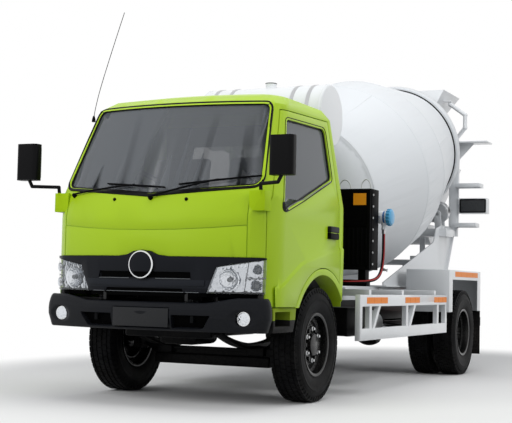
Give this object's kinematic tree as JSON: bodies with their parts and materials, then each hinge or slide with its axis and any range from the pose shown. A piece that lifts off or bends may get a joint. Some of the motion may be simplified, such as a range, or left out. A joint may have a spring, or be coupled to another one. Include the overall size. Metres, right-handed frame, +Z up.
{
  "type": "concrete mixer truck",
  "caption": "Light cab-over truck carrying a tilted rotating mixing drum, with water tank, charging and discharge hoppers, swinging chute and twin rear wheels.",
  "frame": {"origin": "on the ground under the middle of the truck's overall length, on its centre line", "axes": "+X forward, +Y to the truck's left, +Z up"},
  "size_m": [6.307, 2.1, 2.96],
  "materials": {
    "green_paint": "gloss",
    "white_paint": "gloss",
    "black_paint": "satin",
    "grey_plastic": "satin",
    "black_plastic": "satin",
    "blue_plastic": "gloss",
    "clear_lamp": "gloss",
    "red_lamp": "gloss",
    "window_glass": "gloss",
    "seat_fabric": "matte",
    "rubber": "matte",
    "tyre": "matte",
    "steel": "satin",
    "cast_iron": "matte"
  },
  "bodies": {
    "chassis": {"chassis_frame": "black_paint", "engine": "cast_iron", "front_axle": "black_paint", "rear_axle": "black_paint", "leaf_springs": "black_paint", "fuel_tank": "black_paint", "battery_box": "black_plastic", "exhaust": "steel", "front_bumper": "grey_plastic", "fog_lamps": "clear_lamp", "mixer_subframe": "white_paint", "outriggers": "white_paint", "front_pedestal": "white_paint", "drum_gearbox": "cast_iron", "water_tank": "white_paint", "oil_cooler": "black_paint", "water_meter": "blue_plastic", "meter_hose": "rubber", "rear_pedestal": "white_paint", "charging_hopper": "white_paint", "discharge_hopper": "white_paint", "ladder": "white_paint", "control_box": "black_plastic", "side_guard_left": "white_paint", "side_guard_right": "white_paint", "mudguard_left": "white_paint", "mudguard_right": "white_paint", "mud_flaps": "rubber", "rear_bar": "black_paint", "rear_lamps": "red_lamp"},
    "cab": {"cab_shell": "green_paint", "cab_glass": "window_glass", "grille": "grey_plastic", "headlamps": "clear_lamp", "seats": "seat_fabric", "dashboard": "black_plastic", "mirrors": "black_plastic", "cab_steps": "black_plastic"},
    "left_door": {"door_left": "green_paint", "door_glass_left": "window_glass"},
    "left_knuckle": {"knuckle_left": "cast_iron"},
    "left_front_wheel": {"wheel_front_left": "black_paint", "tyre_front_left": "tyre"},
    "left_rear_wheels": {"wheel_rear_left": "black_paint", "tyres_rear_left": "tyre"},
    "left_roller": {"roller_left": "steel"},
    "right_door": {"door_right": "green_paint", "door_glass_right": "window_glass"},
    "right_knuckle": {"knuckle_right": "cast_iron"},
    "right_front_wheel": {"wheel_front_right": "black_paint", "tyre_front_right": "tyre"},
    "right_rear_wheels": {"wheel_rear_right": "black_paint", "tyres_rear_right": "tyre"},
    "right_roller": {"roller_right": "steel"},
    "drum": {"drum_shell": "white_paint"},
    "chute_swivel": {"chute_bracket": "white_paint"},
    "chute_trough": {"chute": "white_paint"}
  },
  "joints": [
    {"name": "cab_tilt", "type": "hinge", "parent": "chassis", "child": "cab", "pos_m": [3.065, 0, 0.7], "axis": [0, 1, 0], "range_deg": [0, 45]},
    {"name": "left_door_hinge", "type": "hinge", "parent": "cab", "child": "left_door", "pos_m": [2.885, 0.838, 1.3], "axis": [0, 0, -1], "range_deg": [0, 65]},
    {"name": "left_steer", "type": "hinge", "parent": "chassis", "child": "left_knuckle", "pos_m": [2.08, 0.59, 0.402], "axis": [0, 0, 1], "range_deg": [-33, 33]},
    {"name": "left_front_wheel_spin", "type": "hinge", "parent": "left_knuckle", "child": "left_front_wheel", "pos_m": [2.08, 0.7275, 0.402], "axis": [0, 1, 0], "continuous": true},
    {"name": "left_rear_wheels_spin", "type": "hinge", "parent": "chassis", "child": "left_rear_wheels", "pos_m": [-1.3, 0.74, 0.402], "axis": [0, 1, 0], "continuous": true},
    {"name": "right_door_hinge", "type": "hinge", "parent": "cab", "child": "right_door", "pos_m": [2.885, -0.838, 1.3], "axis": [0, 0, 1], "range_deg": [0, 65]},
    {"name": "right_steer", "type": "hinge", "parent": "chassis", "child": "right_knuckle", "pos_m": [2.08, -0.59, 0.402], "axis": [0, 0, 1], "range_deg": [-33, 33]},
    {"name": "right_front_wheel_spin", "type": "hinge", "parent": "right_knuckle", "child": "right_front_wheel", "pos_m": [2.08, -0.7275, 0.402], "axis": [0, 1, 0], "continuous": true},
    {"name": "right_rear_wheels_spin", "type": "hinge", "parent": "chassis", "child": "right_rear_wheels", "pos_m": [-1.3, -0.74, 0.402], "axis": [0, 1, 0], "continuous": true},
    {"name": "drum_spin", "type": "hinge", "parent": "chassis", "child": "drum", "pos_m": [1.08, 0, 1.39], "axis": [-0.9636, 0, 0.2672], "continuous": true},
    {"name": "left_roller_spin", "type": "hinge", "parent": "chassis", "child": "left_roller", "pos_m": [-2.2149, 0.4314, 1.6144], "axis": [-0.9636, 0, 0.2672], "continuous": true},
    {"name": "right_roller_spin", "type": "hinge", "parent": "chassis", "child": "right_roller", "pos_m": [-2.2149, -0.4314, 1.6144], "axis": [-0.9636, 0, 0.2672], "continuous": true},
    {"name": "chute_swing", "type": "hinge", "parent": "chassis", "child": "chute_swivel", "pos_m": [-2.93, 0, 1.1], "axis": [0, 0, -1], "range_deg": [0, 180]},
    {"name": "chute_tilt", "type": "hinge", "parent": "chute_swivel", "child": "chute_trough", "pos_m": [-2.93, 0.1, 1.4], "axis": [1, 0, 0], "range_deg": [0, 35]}
  ],
  "couplings": [
    {"joint": "right_steer", "follows": "left_steer", "ratio": 1},
    {"joint": "left_roller_spin", "follows": "drum_spin", "ratio": -6.2},
    {"joint": "right_roller_spin", "follows": "drum_spin", "ratio": -6.2}
  ]
}
